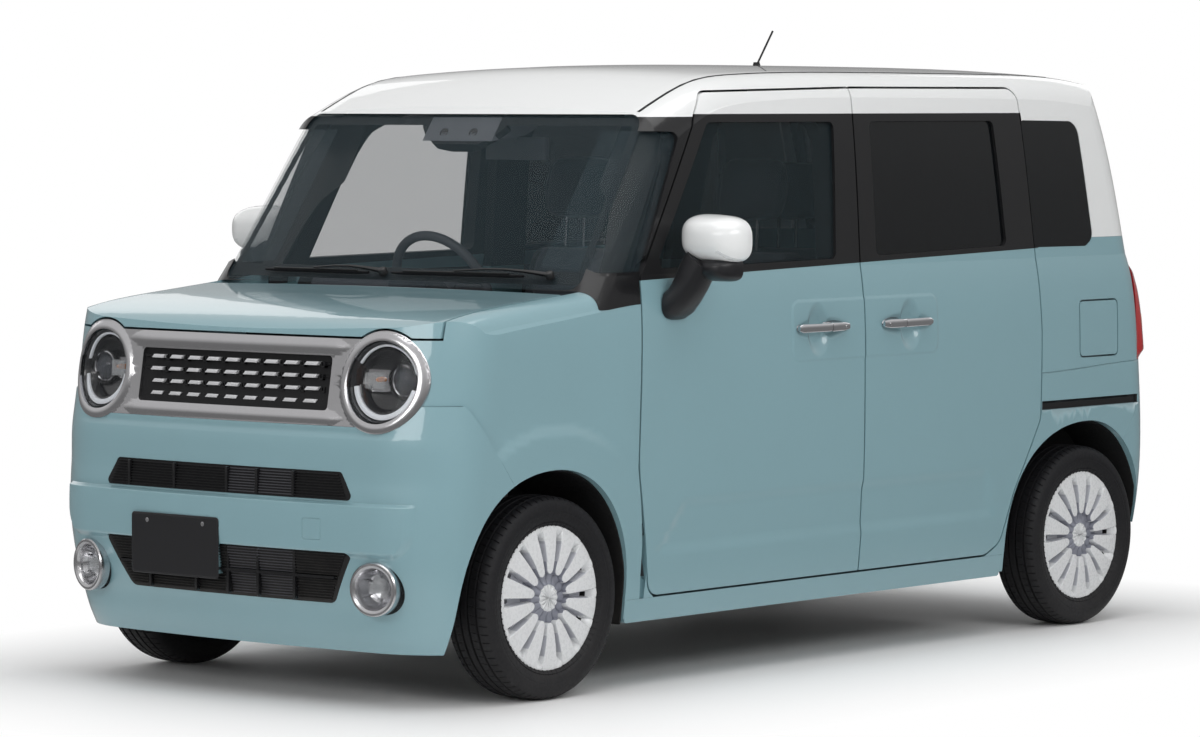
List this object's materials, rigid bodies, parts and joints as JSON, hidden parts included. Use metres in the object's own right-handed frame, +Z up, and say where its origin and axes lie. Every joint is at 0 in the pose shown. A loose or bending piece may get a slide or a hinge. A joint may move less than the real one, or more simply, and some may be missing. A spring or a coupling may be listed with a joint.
{
  "type": "kei car",
  "caption": "Tall boxy kei minivan with round lamps, sliding rear doors, opening front doors, bonnet and tailgate, steering front wheels and a fitted cabin.",
  "frame": {"origin": "on the ground, below the centre of the car's bounding box", "axes": "+Z up, the nose points to -Y, the car's left side is +X"},
  "size_m": [1.925, 3.392, 1.8007],
  "materials": {
    "paint_body": "gloss pale grey green",
    "paint_roof": "gloss white",
    "black_trim": "matte black",
    "glass_clear": "clear, pale green",
    "glass_dark": "dark privacy tint",
    "lamp_lens": "clear lens",
    "lamp_red": "gloss red",
    "bright_trim": "satin bright",
    "wheel_cover": "gloss white",
    "tyre": "matt",
    "steel_dark": "black paint",
    "steel_bare": "bare, dull",
    "cast_block": "cast, dull",
    "underbody": "dull sealed",
    "cabin_plastic": "grained dark grey",
    "seat_cloth": "woven, warm grey"
  },
  "bodies": {
    "body": {"antenna": "black_trim", "arch_liners": "black_trim", "cowl": "black_trim", "dashboard": "cabin_plastic", "engine": "cast_block", "exhaust": "steel_bare", "floor_pan": "underbody", "fog_lamps": "lamp_lens", "front_bumper": "paint_body", "front_pillars": "black_trim", "front_quarter_glass": "glass_clear", "front_seats": "seat_cloth", "front_structure": "steel_dark", "front_suspension": "steel_dark", "front_wings": "paint_body", "fuel_tank": "steel_dark", "grille": "black_trim", "grille_surround": "bright_trim", "headlamps": "lamp_lens", "intake_grilles": "black_trim", "interior_mirror": "black_trim", "quarter_panels": "paint_body", "radiator": "cast_block", "rear_bumper": "paint_body", "rear_door_handles": "bright_trim", "rear_doors": "paint_body", "rear_seat": "seat_cloth", "rear_side_glass": "glass_dark", "rear_suspension": "steel_dark", "roof": "paint_roof", "side_frames": "paint_body", "tail_lamps": "lamp_red", "windscreen": "glass_clear"},
    "door_left": {"front_door_left": "paint_body", "door_glass_left": "glass_clear", "mirror_left": "paint_roof", "door_handle_left": "bright_trim"},
    "door_right": {"front_door_right": "paint_body", "door_glass_right": "glass_clear", "mirror_right": "paint_roof", "door_handle_right": "bright_trim"},
    "bonnet": {"bonnet": "paint_body"},
    "tailgate": {"tailgate": "paint_body", "tailgate_glass": "glass_dark"},
    "fuel_lid": {"fuel_lid": "paint_body"},
    "knuckle_left": {"knuckle_left": "steel_bare"},
    "knuckle_right": {"knuckle_right": "steel_bare"},
    "steering_wheel": {"steering_wheel": "cabin_plastic"},
    "wheel_front_left": {"wheel_front_left": "wheel_cover", "tyre_front_left": "tyre"},
    "wheel_front_right": {"wheel_front_right": "wheel_cover", "tyre_front_right": "tyre"},
    "wheel_rear_left": {"wheel_rear_left": "wheel_cover", "tyre_rear_left": "tyre"},
    "wheel_rear_right": {"wheel_rear_right": "wheel_cover", "tyre_rear_right": "tyre"}
  },
  "joints": [
    {"name": "front_door_left", "type": "hinge", "parent": "body", "child": "door_left", "pos_m": [0.7075, -0.7905, 0.7], "axis": [0, 0, -1], "range_deg": [0, 65]},
    {"name": "front_door_right", "type": "hinge", "parent": "body", "child": "door_right", "pos_m": [-0.7075, -0.7905, 0.7], "axis": [0, 0, 1], "range_deg": [0, 65]},
    {"name": "bonnet", "type": "hinge", "parent": "body", "child": "bonnet", "pos_m": [0, -1.0195, 1.048], "axis": [-1, 0, 0], "range_deg": [0, 45]},
    {"name": "tailgate", "type": "hinge", "parent": "body", "child": "tailgate", "pos_m": [0, 1.4475, 1.632], "axis": [1, 0, 0], "range_deg": [0, 80]},
    {"name": "fuel_lid", "type": "hinge", "parent": "body", "child": "fuel_lid", "pos_m": [0.733, 1.2555, 0.9], "axis": [0, 0, -1], "range_deg": [0, 80]},
    {"name": "steering_wheel", "type": "hinge", "parent": "body", "child": "steering_wheel", "pos_m": [-0.345, -0.4205, 1.045], "axis": [0, 0.9063, 0.4226], "range_deg": [-540, 540]},
    {"name": "steer_left", "type": "hinge", "parent": "body", "child": "knuckle_left", "pos_m": [0.618, -1.1675, 0.187], "axis": [-0.171, 0, 0.9853], "range_deg": [-34, 34]},
    {"name": "steer_right", "type": "hinge", "parent": "body", "child": "knuckle_right", "pos_m": [-0.618, -1.1675, 0.187], "axis": [0.171, 0, 0.9853], "range_deg": [-34, 34]},
    {"name": "wheel_front_left", "type": "hinge", "parent": "knuckle_left", "child": "wheel_front_left", "pos_m": [0.6475, -1.1675, 0.272], "axis": [1, 0, 0], "continuous": true},
    {"name": "wheel_front_right", "type": "hinge", "parent": "knuckle_right", "child": "wheel_front_right", "pos_m": [-0.6475, -1.1675, 0.272], "axis": [1, 0, 0], "continuous": true},
    {"name": "wheel_rear_left", "type": "hinge", "parent": "body", "child": "wheel_rear_left", "pos_m": [0.65, 1.2925, 0.272], "axis": [1, 0, 0], "continuous": true},
    {"name": "wheel_rear_right", "type": "hinge", "parent": "body", "child": "wheel_rear_right", "pos_m": [-0.65, 1.2925, 0.272], "axis": [1, 0, 0], "continuous": true}
  ],
  "couplings": [
    {"joint": "steer_left", "follows": "steering_wheel", "ratio": 0.0611},
    {"joint": "steer_right", "follows": "steering_wheel", "ratio": 0.0611}
  ]
}
